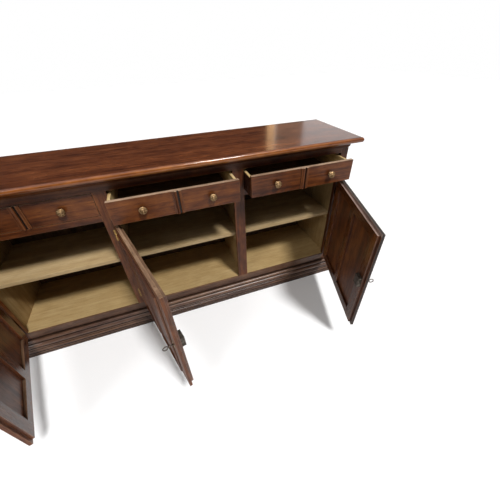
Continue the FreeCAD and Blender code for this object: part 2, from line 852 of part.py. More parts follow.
def door_mouldings(name, hand):
    """Bolection mouldings: four mitred lengths that lap the frame round each panel."""
    crown = size.bolection_rise
    inner = -size.bolection_reach
    outer = size.bolection_lap
    hollow = inner + crown + size.bolection_toe
    section = [
        (ZERO, -size.panel_setback),
        (inner, -size.panel_setback),
        (inner, -size.bolection_toe, arc("x", inner, 1)),
        (hollow, crown),
        (outer - size.bolection_round, crown, arc("x", outer - size.bolection_round, -1)),
        (outer, crown - size.bolection_round),
        (outer, ZERO),
        (ZERO, ZERO),
    ]
    outwards = FreeCAD.Rotation(SIDEWAYS, 90)
    middle = (panel_low + panel_high) / 2
    height = panel_high - panel_low
    lengths = []
    for index, (start, end) in enumerate(panel_spans, start=1):
        centre = (start + end) / 2 * hand
        width = end - start
        sides = (
            ("top", width, 0, centre, panel_high),
            ("right", height, 90, centre + width / 2, middle),
            ("bottom", width, 180, centre, panel_low),
            ("left", height, 270, centre - width / 2, middle),
        )
        for side, run, turn, x, z in sides:
            bead = f"{name}_bead_{index}_{side}"
            piece = mitred_length(bead, section, run, (inner, outer), ("start", "end"))
            spin = FreeCAD.Rotation(INWARDS, turn)
            lengths.append(turned_to(piece, spin.multiply(outwards), x=x, y=lip_front, z=z))
    return lengths


def rim_lock(name, hand):
    """A lock case open towards the door, with a drill pin for the key and a slot for the bolt."""
    low = size.key_height - size.lock_below_key
    high = size.key_height + size.lock_above_key
    start = lock_end - size.lock_width
    wall = size.lock_wall
    shell = board(f"{name}_shell", along(hand, start, lock_end), (inner_face, lock_back), (low, high))
    inside = along(hand, start + wall, lock_end - wall)
    hollow = board(f"{name}_hollow", inside, (inner_face, lock_inside), (low + wall, high - wall))
    bolt_low = size.key_height + size.bolt_rise - size.bolt_play
    slot_height = (bolt_low, bolt_low + size.bolt_height + size.bolt_play * 2)
    slot_depth = (bolt_front - size.bolt_play, lock_inside)
    slot = board(f"{name}_slot", along(hand, lock_end - wall, lock_end), slot_depth, slot_height)
    case = cut(f"{name}_walls", shell, joined(f"{name}_space", [hollow, slot]))
    pin_start = inner_face + size.key_end_gap
    spot = (key_along * hand, pin_start, size.key_height)
    pin = rod(f"{name}_pin", size.lock_pin_radius, lock_back - pin_start, *spot, INWARDS)
    return joined(f"{name}_with_pin", [case, pin])


def lock_bolt(name, hand):
    """A flat bolt that slides out behind the stile."""
    end = lock_end - size.bolt_play
    low = size.key_height + size.bolt_rise
    span = along(hand, end - size.bolt_length, end)
    return board(f"{name}_bar", span, (bolt_front, bolt_back), (low, low + size.bolt_height))


def door_key(name, hand):
    """A pipe key: ring bow, shank with a bore for the drill pin, and bit."""
    x = key_along * hand
    z = size.key_height
    bow_centre = lip_front - size.key_stand_out + size.key_bow_radius
    shank_start = bow_centre + (size.key_bow_radius + size.key_bow_eye_radius) / 2
    shank_end = lock_inside - size.key_end_gap
    bow_spot = (x - size.key_bow_thickness / 2, bow_centre, z, SIDEWAYS)
    rim = rod(f"{name}_bow_rim", size.key_bow_radius, size.key_bow_thickness, *bow_spot)
    eye = rod(f"{name}_bow_eye", size.key_bow_eye_radius, size.key_bow_thickness, *bow_spot)
    ring = cut(f"{name}_bow", rim, eye)
    shank = rod(f"{name}_shank", size.key_shank_radius, shank_end - shank_start, x, shank_start, z, INWARDS)
    half = size.key_bit_thickness / 2
    bit_end = shank_end - size.key_end_gap
    bit_depth = (bit_end - size.key_bit_width, bit_end)
    bit = board(f"{name}_bit", (x - half, x + half), bit_depth, (z - size.key_bit_radius, z))
    blank = joined(f"{name}_blank", [ring, shank, bit])
    radius = size.lock_pin_radius + size.hinge_running_clearance
    bore = rod(f"{name}_bore", radius, shank_end - inner_face, x, inner_face, z, INWARDS)
    return cut(f"{name}_pipe", blank, bore)


def keyhole_plate(name, hand):
    """An upright brass plate with clipped corners on the face of the lock stile."""
    front = lip_front - size.keyhole_plate_thickness
    x = key_along * hand
    side = size.keyhole_plate_width / 2
    end = size.keyhole_plate_height / 2
    clip = size.keyhole_plate_clip
    low = size.key_height - end
    high = size.key_height + end
    outline = [
        (x - side, low + clip),
        (x - side + clip, low),
        (x + side - clip, low),
        (x + side, low + clip),
        (x + side, high - clip),
        (x + side - clip, high),
        (x - side + clip, high),
        (x - side, high - clip),
    ]
    blank = extrusion(f"{name}_blank", "XZ_Plane", outline, front, lip_front)
    return cut(f"{name}_pierced", blank, keyhole(f"{name}_plate", hand, front, lip_front))


def moving_leaf(name, hand, foot):
    """The door's half of a hinge: upper knuckle, neck and a plate on the door's edge."""
    middle = foot + size.hinge_height / 2
    half = size.hinge_leaf_thickness
    knuckle = rod(f"{name}_knuckle", size.hinge_barrel_radius, size.hinge_height / 2, z=middle)
    plate_start = hinge_edge - size.hinge_leaf_thickness
    span = along(hand, plate_start, hinge_edge)
    plate_width = (-(size.hinge_leaf_width / 2), size.hinge_leaf_width / 2)
    plate = board(f"{name}_plate", span, plate_width, (foot, foot + size.hinge_height))
    neck_span = along(hand, ZERO, hinge_edge)
    neck = board(f"{name}_neck", neck_span, (-half, half), (middle, foot + size.hinge_height))
    solid = joined(f"{name}_blank", [knuckle, plate, neck])
    radius = size.hinge_pin_radius + size.hinge_running_clearance
    return cut(f"{name}_leaf", solid, rod(f"{name}_bore", radius, size.hinge_height / 2, z=middle))


def fixed_leaf(name, hand, foot):
    """The frame's half of a hinge: lower knuckle with its pin, neck and a plate on the stile."""
    low_height = size.hinge_height / 2 - size.hinge_knuckle_gap
    rear = lip_back + size.door_face_gap
    plate_front = rear - size.hinge_leaf_thickness
    knuckle = rod(f"{name}_knuckle", size.hinge_barrel_radius, low_height, z=foot)
    pin = rod(f"{name}_pin", size.hinge_pin_radius, size.hinge_height - size.hinge_pin_short, z=foot)
    neck_span = along(hand, -size.hinge_barrel_radius, ZERO)
    neck = board(f"{name}_neck", neck_span, (ZERO, rear), (foot, foot + low_height))
    plate_span = along(hand, -size.hinge_leaf_reach, ZERO)
    plate = board(f"{name}_plate", plate_span, (plate_front, rear), (foot, foot + size.hinge_height))
    return joined(f"{name}_leaf", [knuckle, pin, neck, plate])


def hinge_axis_x(place, hand):
    """The upright hinge axis of one bay's door, outside its opening."""
    return bay_pitch * place - (size.bay_width / 2 + opening_start) * hand


def door(bay, place, hand, opening):
    """One door, made about its hinge axis and then swung open by its angle."""
    name = f"door_{bay}"
    spot = {"x": hinge_axis_x(place, hand), "y": hinge_axis_y, "turn": opening * -hand}
    leaves = [moving_leaf(f"{name}_hinge_{end}", hand, foot) for end, foot in hinge_levels.items()]
    return [
        subpart(f"{name}_frame", door_frame(name, hand), **spot),
        subpart(f"{name}_panels", door_panels(name, hand), **spot),
        subpart(f"{name}_mouldings", door_mouldings(name, hand), **spot),
        subpart(f"{name}_lock_case", [rim_lock(f"{name}_lock", hand)], **spot),
        subpart(f"{name}_lock_bolt", [lock_bolt(f"{name}_bolt", hand)], **spot),
        subpart(f"{name}_key", [door_key(f"{name}_key", hand)], **spot),
        subpart(f"{name}_keyhole_plate", [keyhole_plate(f"{name}_escutcheon", hand)], **spot),
        subpart(f"{name}_hinge_leaves", leaves, **spot),
    ]


def hinge_frame_leaves(hands):
    """The fixed hinge halves, two on the stile beside each door."""
    leaves = []
    for bay, place in bays.items():
        for end, foot in hinge_levels.items():
            leaf = fixed_leaf(f"frame_hinge_{bay}_{end}", hands[bay], foot)
            x = hinge_axis_x(place, hands[bay])
            leaves.append(subpart(f"set_hinge_{bay}_{end}", [leaf], x=x, y=hinge_axis_y))
    return subpart("hinge_frame_leaves", leaves)


pulls = {"left": size.drawer_pull_left, "middle": size.drawer_pull_middle, "right": size.drawer_pull_right}
swings = {"left": size.door_open_left, "middle": size.door_open_middle, "right": size.door_open_right}
door_hands = {"left": 1, "middle": 1, "right": -1}

nodes = [top_board(), cornice_moulding(), base_moulding(), skirting_boards(), plinth_frame()]
nodes += face_frame()
nodes += carcass_boards()
nodes += shelves()
nodes += drawer_runners()
nodes.append(hinge_frame_leaves(door_hands))
for bay, place in bays.items():
    nodes += drawer(bay, place, pulls[bay])
    nodes += door(bay, place, door_hands[bay], swings[bay])
doc.recompute()

failed = [item.Name for item in doc.Objects if "Invalid" in item.State or "Error" in item.State]
if failed:
    raise RuntimeError(f"objects that failed: {failed}")
for node in nodes:
    if node.Shape.isNull() or not node.Shape.isValid():
        raise RuntimeError(f"{node.Label} has no valid shape")

os.makedirs("parts", exist_ok=True)
for node in nodes:
    node.Shape.exportStep(f"parts/{node.Label}.step")
print(f"{len(nodes)} nodes, {sum(len(node.Shape.Solids) for node in nodes)} solids")
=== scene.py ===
"""A chiffonier with three drawers over three lipped doors, dressed and lit as in the photo."""

import bpy
import numpy as np
from mathutils import Matrix, Vector


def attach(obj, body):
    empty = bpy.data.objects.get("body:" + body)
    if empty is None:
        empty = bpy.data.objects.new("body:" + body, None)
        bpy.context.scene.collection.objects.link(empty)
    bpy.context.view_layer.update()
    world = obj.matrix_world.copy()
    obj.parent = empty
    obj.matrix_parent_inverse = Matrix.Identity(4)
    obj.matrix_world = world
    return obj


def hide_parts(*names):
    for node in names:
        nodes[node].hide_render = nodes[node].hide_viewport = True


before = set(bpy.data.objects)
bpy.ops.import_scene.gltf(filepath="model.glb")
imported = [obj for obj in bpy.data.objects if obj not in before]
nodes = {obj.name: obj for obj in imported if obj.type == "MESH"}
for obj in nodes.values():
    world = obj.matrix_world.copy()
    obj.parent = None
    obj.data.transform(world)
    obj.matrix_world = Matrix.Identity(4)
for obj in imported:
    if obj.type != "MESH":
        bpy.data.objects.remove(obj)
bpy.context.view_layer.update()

# Plinth frame and hidden bearers.
# Pine bars, nailed together, that lift the carcass off the floor; a strip shows above the moulding.
# The strip is stained and painted nearly black as painted shade in the recess; the bare rear is matt,
# streaked and grey with dust.
MM = 0.001
PLINTH_REAR_TONES = [(0.34, "#6b5436"), (0.50, "#7e6645"), (0.66, "#8f7855")]
PLINTH_STAIN_AND_SHADE_TONES = [(0.34, "#1b0e08"), (0.50, "#2a170d"), (0.66, "#382012")]
RAW_PORE = "#ddd5cc"
RAW_ROUGHNESS = 0.62
RAW_PORE_DEPTH = 0.1
# Length and width of one mark in the wood in mm, and the detail of its noise.
FIGURE = (900, 90, 2.0)
STREAK = (600, 12, 4.0)
MOTTLE = (70, 34, 3.0)
PORES = (45, 1.6, 2.0)
STREAK_SHARE = 0.5
MOTTLE_SHARE = 0.3
PORE_CORE, PORE_RIM = 0.30, 0.48
SOFT_ARRIS = 1.2
BEVEL_SAMPLES = 4
PORE_STRENGTH = 0.6
FACING_LEAST = 0.5


def colour(code):
    """A colour written as an sRGB hex code, as linear red, green, blue and alpha."""
    share = np.array([int(code[i:i + 2], 16) for i in (1, 3, 5)]) / 255
    linear = np.where(share <= 0.04045, share / 12.92, ((share + 0.055) / 1.055) ** 2.4)
    return (*linear.tolist(), 1.0)


def add(tree, kind, inputs=None, stops=(), **settings):
    """A new shader node: its settings made, its sockets linked or set, and its colour stops placed."""
    node = tree.nodes.new("ShaderNode" + kind)
    for name, value in settings.items():
        setattr(node, name, value)
    for key, value in (inputs or {}).items():
        if isinstance(value, bpy.types.NodeSocket):
            tree.links.new(value, node.inputs[key])
        else:
            node.inputs[key].default_value = value
    for i, (position, code) in enumerate(stops):
        steps = node.color_ramp.elements
        step = steps[i] if i < len(steps) else steps.new(position)
        step.position = position
        step.color = colour(code)
    return node


def new_material(name):
    """An empty material, its node tree and the coordinates of the piece that wears it."""
    material = bpy.data.materials.new(name)
    material.use_nodes = True
    tree = material.node_tree
    tree.nodes.clear()
    return material, tree, add(tree, "TexCoord").outputs["Object"]


def surface(tree, sockets):
    """Ends a material in a shader whose sockets are linked or set by name."""
    shader = add(tree, "BsdfPrincipled", sockets)
    add(tree, "OutputMaterial", {"Surface": shader.outputs[0]})


def dress(material, *names):
    """Gives the material to whole pieces."""
    for name in names:
        mesh = nodes[name].data
        mesh.materials.clear()
        mesh.materials.append(material)


def grain_first(tree, place, order):
    """Coordinates with the axis that the grain follows put first."""
    parts = add(tree, "SeparateXYZ", {"Vector": place}).outputs
    return add(tree, "CombineXYZ", {i: parts[axis] for i, axis in enumerate(order)}).outputs[0]


def streaks(tree, run, length, width, detail):
    """Noise drawn out along the grain, from the real length and width of one streak in mm."""
    scale = (1 / (length * MM), 1 / (width * MM), 1 / (width * MM))
    drawn = add(tree, "Mapping", {"Vector": run, "Scale": scale}).outputs[0]
    return add(tree, "TexNoise", {"Vector": drawn, "Scale": 1.0, "Detail": detail}).outputs["Fac"]


def wood_look(tree, run, tones, pore):
    """Colour and pores of planed wood: broad figure, streaks, a mottle across them, and pores.

    Real pores are about 0.3 mm wide, and are drawn at 1.6 mm because they would not show."""
    figure = streaks(tree, run, *FIGURE)
    streak = streaks(tree, run, *STREAK)
    mottle = streaks(tree, run, *MOTTLE)
    pores = streaks(tree, run, *PORES)
    long_marks = add(tree, "Mix", {0: STREAK_SHARE, 2: figure, 3: streak}).outputs[0]
    shade = add(tree, "Mix", {0: MOTTLE_SHARE, 2: long_marks, 3: mottle}).outputs[0]
    base = add(tree, "ValToRGB", {"Fac": shade}, tones).outputs[0]
    pore_stops = [(PORE_CORE, pore), (PORE_RIM, "#ffffff")]
    dark = add(tree, "ValToRGB", {"Fac": pores}, pore_stops).outputs[0]
    toned = add(tree, "Mix", {0: 1.0, 6: base, 7: dark}, data_type="RGBA", blend_type="MULTIPLY")
    return toned.outputs[2], pores


def softened(tree, height, depth, radius=SOFT_ARRIS):
    """A normal with the arrises rounded a little and the pores pressed in, both in mm."""
    round_off = add(tree, "Bevel", {"Radius": radius * MM}, samples=BEVEL_SAMPLES).outputs[0]
    bump = {"Height": height, "Distance": depth * MM, "Strength": PORE_STRENGTH, "Normal": round_off}
    return add(tree, "Bump", bump).outputs[0]


def facing(tree, axis):
    """How far a face points along an axis, from -1 to 1."""
    normal = add(tree, "NewGeometry").outputs["True Normal"]
    return add(tree, "SeparateXYZ", {"Vector": normal}).outputs[axis]


plinth_pine, tree, place = new_material("plinth_pine")
run = grain_first(tree, place, "XYZ")
rear_look, pores = wood_look(tree, run, PLINTH_REAR_TONES, RAW_PORE)
# The front strip is painted nearly black as painted shade; the rear stays bare.
stained_shaded_look = wood_look(tree, run, PLINTH_STAIN_AND_SHADE_TONES, RAW_PORE)[0]
rear = add(tree, "Math", {0: facing(tree, "Y"), 1: FACING_LEAST}, operation="GREATER_THAN").outputs[0]
plinth_look = add(tree, "Mix", {0: rear, 6: stained_shaded_look, 7: rear_look}, data_type="RGBA").outputs[2]
surface(tree, {"Base Color": plinth_look, "Roughness": RAW_ROUGHNESS,
               "Normal": softened(tree, pores, RAW_PORE_DEPTH)})
dress(plinth_pine, "plinth_frame")

# Carcass boards: bottom, partitions, shelves, cleats, runners and kickers.
# Planed softwood boards, housed and nailed, never stained inside the bays; the shelves lie loose.
# They look yellow and dry; the shelves are painted paler as painted light and the uprights darker as
# painted shade.
RAW_TONES = [(0.34, "#97794e"), (0.50, "#ac8f60"), (0.66, "#bda276")]
FLOOR_TONES = [(0.34, "#9a7f52"), (0.50, "#ab9061"), (0.66, "#b9a072")]
# Shelves are painted paler as painted light, uprights darker as painted shade.
SHELF_LIT_TONES = [(0.34, "#a98d63"), (0.50, "#b89e73"), (0.66, "#c6ae86")]
UPRIGHT_SHADED_TONES = [(0.34, "#8d7147"), (0.50, "#a0855a"), (0.66, "#b0976c")]


def raw_wood(name, order, tones):
    """Bare planed wood with the grain along the first axis of the order."""
    material, tree, place = new_material(name)
    look, pores = wood_look(tree, grain_first(tree, place, order), tones, RAW_PORE)
    surface(tree, {"Base Color": look, "Roughness": RAW_ROUGHNESS,
                   "Normal": softened(tree, pores, RAW_PORE_DEPTH)})
    return material


dress(raw_wood("raw_floor", "XYZ", FLOOR_TONES), "bottom_board")
dress(raw_wood("raw_shelf", "XYZ", SHELF_LIT_TONES), "shelf_left", "shelf_middle", "shelf_right")
dress(raw_wood("raw_upright", "ZYX", UPRIGHT_SHADED_TONES), "partitions")
dress(raw_wood("raw_bearers", "YXZ", RAW_TONES), "shelf_cleats", "drawer_runners", "drawer_kickers")

# Back panel.
# Thin plywood in one sheet with upright grain, nailed to the rear of the carcass.
# It was never varnished; it is dull, and painted dark as painted shade at the back of the bays.
BACK_SHADE_TONES = [(0.38, "#3a2b1c"), (0.50, "#4d3a27"), (0.62, "#5f4a34")]
dress(raw_wood("back_plywood", "ZYX", BACK_SHADE_TONES), "back_panel")

# Face frame: two end stiles, two middle stiles, top rail, drawer rails and bottom rail.
# Walnut bars, mortised and glued, stained a dark red brown and varnished.
# The old varnish has a low sheen: rubbed at the arrises with a painted highlight, painted darker near
# corners as painted shade, scuffed low down.
WALNUT_TONES = [(0.37, "#3a1a0a"), (0.50, "#633519"), (0.63, "#874f24")]
SCUFFED_TONES = [(0.37, "#38221a"), (0.50, "#5c4030"), (0.63, "#7c5c45")]
WALNUT_PORE = "#8a7c74"
# Lighter colour at open arrises: wear, and partly a painted highlight.
RUBBED_HIGHLIGHT = "#a0744f"
# Dark colour of the painted shade near corners and in the strips' quirks.
SHADE_PAINT = "#160c06"
# Stronger and wider painted shade near corners, for the bottom rail and the base.
DEEP_SHADE = {"shade_strength": 0.95, "unshaded": 0.92}
BOTTOM_RAIL_SHADE_REACH = 45
RUBBED_ARRIS = 3
ARRIS_STARTS, ARRIS_TURNED = 0.995, 0.90
RUBBED_HIGHLIGHT_MOST = 0.5
SHELTERED, OPEN = 0.7, 0.95
SHADE_FADE = 0.5
AIR_SAMPLES = 6
VARNISH_ROUGHNESS = 0.3
VARNISH_LEVEL = 0.28
VARNISH_PORE_DEPTH = 0.08
PORE_ROUGHNESS = 0.12
PORE_OPEN, PORE_SHUT = 0.3, 0.6


def worn_highlit_shaded(tree, look, shade_strength=0.75, unshaded=0.8, reach=25):
    """The colour, lighter where an arris turns in the open, as wear and a painted highlight, and darker
    near corners as painted shade.

    Reach is how far out from a corner the painted shade lies, in mm; unshaded is the share of open air
    without any."""
    rounded = add(tree, "Bevel", {"Radius": RUBBED_ARRIS * MM}, samples=BEVEL_SAMPLES).outputs[0]
    flat = add(tree, "NewGeometry").outputs["Normal"]
    alike = add(tree, "VectorMath", {0: rounded, 1: flat}, operation="DOT_PRODUCT").outputs["Value"]
    open_air = add(tree, "AmbientOcclusion", {"Distance": reach * MM}, samples=AIR_SAMPLES).outputs["AO"]
    turn = {0: alike, 1: ARRIS_STARTS, 2: ARRIS_TURNED, 4: RUBBED_HIGHLIGHT_MOST}
    turned_edge = add(tree, "MapRange", turn).outputs[0]
    bare = add(tree, "MapRange", {0: open_air, 1: SHELTERED, 2: OPEN}).outputs[0]
    rub_highlight = add(tree, "Math", {0: turned_edge, 1: bare}, operation="MULTIPLY").outputs[0]
    rubbed_highlit = add(tree, "Mix", {0: rub_highlight, 6: look, 7: colour(RUBBED_HIGHLIGHT)}, data_type="RGBA").outputs[2]
    shade_share = add(tree, "MapRange", {0: open_air, 1: unshaded, 2: unshaded - SHADE_FADE, 4: shade_strength}).outputs[0]
    return add(tree, "Mix", {0: shade_share, 6: rubbed_highlit, 7: colour(SHADE_PAINT)}, data_type="RGBA").outputs[2]


def varnished(tree, look, pores, roughness=VARNISH_ROUGHNESS, level=VARNISH_LEVEL):
    """Stained wood under a thin varnish, a little rougher where the pores show."""
    opening = {0: pores, 1: PORE_OPEN, 2: PORE_SHUT, 3: PORE_ROUGHNESS, 4: 0.0}
    open_pore = add(tree, "MapRange", opening).outputs[0]
    rough = add(tree, "Math", {0: open_pore, 1: roughness}, operation="ADD").outputs[0]
    surface(tree, {"Base Color": look, "Roughness": rough, "Specular IOR Level": level,
                   "Normal": softened(tree, pores, VARNISH_PORE_DEPTH)})


def walnut(name, order, tones=WALNUT_TONES, **wear):
    """Stained walnut with the grain along the first axis of the order."""
    material, tree, place = new_material(name)
    look, pores = wood_look(tree, grain_first(tree, place, order), tones, WALNUT_PORE)
    varnished(tree, worn_highlit_shaded(tree, look, **wear), pores)
    return material


dress(walnut("walnut_upright", "ZXY"), "end_stiles", "middle_stiles")
dress(walnut("walnut_lengthwise", "XZY"), "top_rail", "drawer_rails")
# The bottom rail is painted darker near its corners as painted shade, further out than elsewhere.
dress(walnut("walnut_scuffed", "XZY", SCUFFED_TONES, reach=BOTTOM_RAIL_SHADE_REACH, **DEEP_SHADE), "bottom_rail")

# End panels.
# Walnut boards that close the two ends, stained and varnished outside and left raw towards the bays.
# Outside they match the face frame, inside the partitions.
TWO_SIDED_ROUGHNESS = 0.36
FACES_MIDDLE = -10 * MM


def faces_up(tree):
    """1 on the faces that point up."""
    rise = {0: facing(tree, "Z"), 1: FACING_LEAST}
    return add(tree, "Math", rise, operation="GREATER_THAN").outputs[0]


def two_sided(name, order, outer_tones, inner_tones, middle=0.0):
    """Wood stained on the sides that face away from a middle x, raw on those that face it and on top."""
    material, tree, place = new_material(name)
    run = grain_first(tree, place, order)
    outside, pores = wood_look(tree, run, outer_tones, WALNUT_PORE)
    inside = wood_look(tree, run, inner_tones, RAW_PORE)[0]
    spot = add(tree, "SeparateXYZ", {"Vector": place}).outputs["X"]
    side = add(tree, "Math", {0: spot, 1: middle}, operation="SUBTRACT").outputs[0]
    away = add(tree, "Math", {0: side, 1: facing(tree, "X")}, operation="MULTIPLY").outputs[0]
    inward = add(tree, "Math", {0: away, 1: FACES_MIDDLE}, operation="LESS_THAN").outputs[0]
    raw = add(tree, "Math", {0: inward, 1: faces_up(tree)}, operation="MAXIMUM").outputs[0]
    look = add(tree, "Mix", {0: raw, 6: outside, 7: inside}, data_type="RGBA").outputs[2]
    varnished(tree, look, pores, TWO_SIDED_ROUGHNESS)
    return material


dress(two_sided("end_panel_wood", "ZYX", WALNUT_TONES, UPRIGHT_SHADED_TONES), "end_panels")

# Base moulding and cornice.
# Walnut mouldings worked with planes, mitred round the front corners and glued on.
# The grain follows each length; the base is scuffed with shining crests, the cornice dark and dull.
CARCASS_HALF_WIDTH = 904 * MM
CARCASS_FACE = -195 * MM
BASE_LEVEL = 0.5
CORNICE_LEVEL = 0.12


def wrapped_walnut(name, tones, level, **wear):
    """Walnut that runs along X at the front and along Y at the ends, parted at the mitres."""
    material, tree, place = new_material(name)
    parts = add(tree, "SeparateXYZ", {"Vector": place}).outputs
    sideways = add(tree, "Math", {0: parts["X"]}, operation="ABSOLUTE").outputs[0]
    beyond = add(tree, "Math", {0: sideways, 1: CARCASS_HALF_WIDTH}, operation="SUBTRACT").outputs[0]
    ahead = add(tree, "Math", {0: CARCASS_FACE, 1: parts["Y"]}, operation="SUBTRACT").outputs[0]
    at_end = add(tree, "Math", {0: beyond, 1: ahead}, operation="GREATER_THAN").outputs[0]
    front_run = grain_first(tree, place, "XZY")
    end_run = grain_first(tree, place, "YZX")
    run = add(tree, "Mix", {0: at_end, 4: front_run, 5: end_run}, data_type="VECTOR").outputs[1]
    look, pores = wood_look(tree, run, tones, WALNUT_PORE)
    varnished(tree, worn_highlit_shaded(tree, look, **wear), pores, level=level)
    return material


# The base's grooves and corners are painted darker as painted shade.
base_wood = wrapped_walnut("walnut_base", SCUFFED_TONES, BASE_LEVEL, **DEEP_SHADE)
dress(base_wood, "base_moulding")
dress(wrapped_walnut("walnut_cornice", WALNUT_TONES, CORNICE_LEVEL), "cornice_moulding")

# Skirting.
# Walnut boards at the floor, mitred at the front corners and glued on under the base moulding.
# The planes left a rounded top, a flat reed and a foot with two grooves between them, darkened as
# painted shade.
SKIRTING_OUTLINE = [
    (-4, 0), (32, 0), (32, 8), (31, 9), (27, 9.4), (27, 12.6), (30.4, 13.2), (31.6, 14.4), (31.8, 17),
    (31.4, 19.4), (30.2, 20.6), (26, 21), (26, 25.4), (29.4, 26), (31.4, 27.8), (32, 30.2), (31.4, 33.2),
    (29.8, 36.2), (27.4, 38.8), (25, 40), (-4, 40),
]
SKIRTING_BACK = 195 * MM
SHARP_ANGLE = np.radians(38)


def skirting_rings():
    """Rings of the outline round the carcass: left rear, left front, right front and right rear."""
    out, level = np.array(SKIRTING_OUTLINE, float).T * MM
    beside, ahead = CARCASS_HALF_WIDTH + out, CARCASS_FACE - out
    rear = np.full_like(out, SKIRTING_BACK)
    corners = [(-beside, rear), (-beside, ahead), (beside, ahead), (beside, rear)]
    rings = np.array([np.stack([x, y, level], -1) for x, y in corners])
    ends = np.broadcast_to(rings[[0, -1]].mean(1, keepdims=True), rings[[0, -1]].shape)
    return np.concatenate([ends[:1], rings, ends[1:]])


def skin(rings, ends="poles"):
    """Points and faces of rings of equal length: closed to a pole at both ends, or joined end to end."""
    count, sides = rings.shape[:2]
    points = rings.reshape(-1, 3)
    index = np.arange(count * sides).reshape(count, sides)
    if ends == "poles":
        points = np.concatenate([rings[:1, 0], rings[1:-1].reshape(-1, 3), rings[-1:, 0]])
        index = np.arange((count - 2) * sides).reshape(count - 2, sides) + 1
        index = np.concatenate([np.zeros((1, sides), int), index, np.full((1, sides), len(points) - 1)])
    else:
        index = np.concatenate([index, index[:1]])
    here, there = index[:-1], index[1:]
    quads = np.stack([here, np.roll(here, -1, 1), np.roll(there, -1, 1), there], -1).reshape(-1, 4)
    faces = np.concatenate([quads[:, :3], quads[:, [0, 2, 3]]])
    whole = (faces[:, 0] != faces[:, 1]) & (faces[:, 1] != faces[:, 2]) & (faces[:, 2] != faces[:, 0])
    return points, faces[whole]


def outward_faces(points, faces):
    """The faces, turned over where the volume that they enclose comes out negative."""
    a, b, c = (points[faces[:, i]] - points.mean(0) for i in range(3))
    return faces if np.einsum("ij,ij->", a, np.cross(b, c)) > 0 else faces[:, ::-1]


def new_piece(name, skins, material, body, replaced=()):
    """A mesh made of one or more closed skins that moves with a body."""
    points, faces = [], []
    start = 0
    for skin_points, skin_faces in skins:
        points.append(skin_points)
        faces.append(outward_faces(skin_points, skin_faces) + start)
        start += len(skin_points)
    mesh = bpy.data.meshes.new(name)
    mesh.from_pydata(np.concatenate(points).tolist(), [], np.concatenate(faces).tolist())
    mesh.shade_smooth()
    mesh.set_sharp_from_angle(angle=SHARP_ANGLE)
    mesh.materials.append(material)
    made = bpy.data.objects.new(name, mesh)
    bpy.context.scene.collection.objects.link(made)
    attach(made, body)
    if replaced:
        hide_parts(*replaced)
    return mesh


dress(base_wood, "skirting_boards")
new_piece("skirting_reeded", [skin(skirting_rings())], base_wood, "carcass",
          ["skirting_boards"])

# Drawers: front, box and bottom.
# Walnut fronts with a planed, bare top edge, on softwood boxes whose bottoms are let into grooves.
# The boxes are stained outside only, so the inside of each side is pale and the bottom is dark with use.
DRAWERS = {"left": -594 * MM, "middle": 0.0, "right": 594 * MM}
EDGE_TONES = [(0.38, "#8a6d54"), (0.50, "#b0937a"), (0.62, "#cdb297")]
BOX_TONES = [(0.38, "#b0905c"), (0.50, "#cdb07c"), (0.62, "#e0c89a")]
BOX_STAIN_TONES = [(0.37, "#200e07"), (0.50, "#371b0e"), (0.63, "#4c2916")]
DRAWER_BOTTOM_TONES = [(0.38, "#7a6a4e"), (0.50, "#938262"), (0.62, "#a89878")]
drawer_front_wood, tree, place = new_material("drawer_front_wood")
run = grain_first(tree, place, "XZY")
look, pores = wood_look(tree, run, WALNUT_TONES, WALNUT_PORE)
edge_look = wood_look(tree, run, EDGE_TONES, WALNUT_PORE)[0]
front_look = add(tree, "Mix", {0: faces_up(tree), 6: worn_highlit_shaded(tree, look), 7: edge_look}, data_type="RGBA")
varnished(tree, front_look.outputs[2], pores)
drawer_bottom_wood = raw_wood("drawer_bottom_wood", "XYZ", DRAWER_BOTTOM_TONES)
for bay, middle in DRAWERS.items():
    dress(drawer_front_wood, f"drawer_{bay}_front", f"drawer_{bay}_strip")
    dress(drawer_bottom_wood, f"drawer_{bay}_bottom")
    box_wood = two_sided(f"drawer_{bay}_box_wood", "YZX", BOX_STAIN_TONES, BOX_TONES, middle)
    dress(box_wood, f"drawer_{bay}_box")

# Strips on the drawer fronts.
# A walnut bar with two beads and a deep quirk between them, glued upright on the middle of each front.
# The quirk is painted black as painted shade and reads as a black line; the top end is bare like the
# front's edge.
DRAWER_FACES = {"left": -195 * MM, "middle": -304 * MM, "right": -297 * MM}
STRIP_FOOT = 718 * MM
STRIP_HEAD = 820 * MM
STRIP_HALF = 19.0
FILLET_OUT = 3.5
QUIRK = (-1.0, 6.0)
QUIRK_OUT = 0.5
LEFT_BEAD_START, LEFT_BEAD_CREST = -11.0, 9.0
RIGHT_BEAD_END, RIGHT_BEAD_CREST = 13.0, 7.0
BEAD_STEPS = 11
QUIRK_SHADE_MARGIN = 0.5


def bead(start, end, crest):
    """Across and out of a half round: c - r cos t and fillet + (crest - fillet) sin t, in mm."""
    turn = np.linspace(0, np.pi, BEAD_STEPS)
    return np.stack([(start + end) / 2 - (end - start) / 2 * np.cos(turn),
                     FILLET_OUT + (crest - FILLET_OUT) * np.sin(turn)], 1)


def strip_outline():
    """Across and out of the strip from left to right: fillet, bead, quirk, bead, fillet, in mm."""
    left, right = QUIRK
    return np.concatenate([
        [(-STRIP_HALF, 0), (-STRIP_HALF, FILLET_OUT)],
        bead(LEFT_BEAD_START, left, LEFT_BEAD_CREST),
        [(left, QUIRK_OUT), (right, QUIRK_OUT)],
        bead(right, RIGHT_BEAD_END, RIGHT_BEAD_CREST),
        [(STRIP_HALF, FILLET_OUT), (STRIP_HALF, 0)],
    ])


def strip_rings(outline, middle, face):
    """Rings of the strip: at each point of the outline an upright rectangle from the face out to it."""
    across, out = outline.T * MM
    level = np.array([STRIP_FOOT, STRIP_FOOT, STRIP_HEAD, STRIP_HEAD])
    proud = np.outer(out, [0, 1, 1, 0])
    rings = np.stack(np.broadcast_arrays(middle + across[:, None], face - proud, level), -1)
    rings[[0, -1]] = rings[[0, -1]].mean(1, keepdims=True)
    return rings


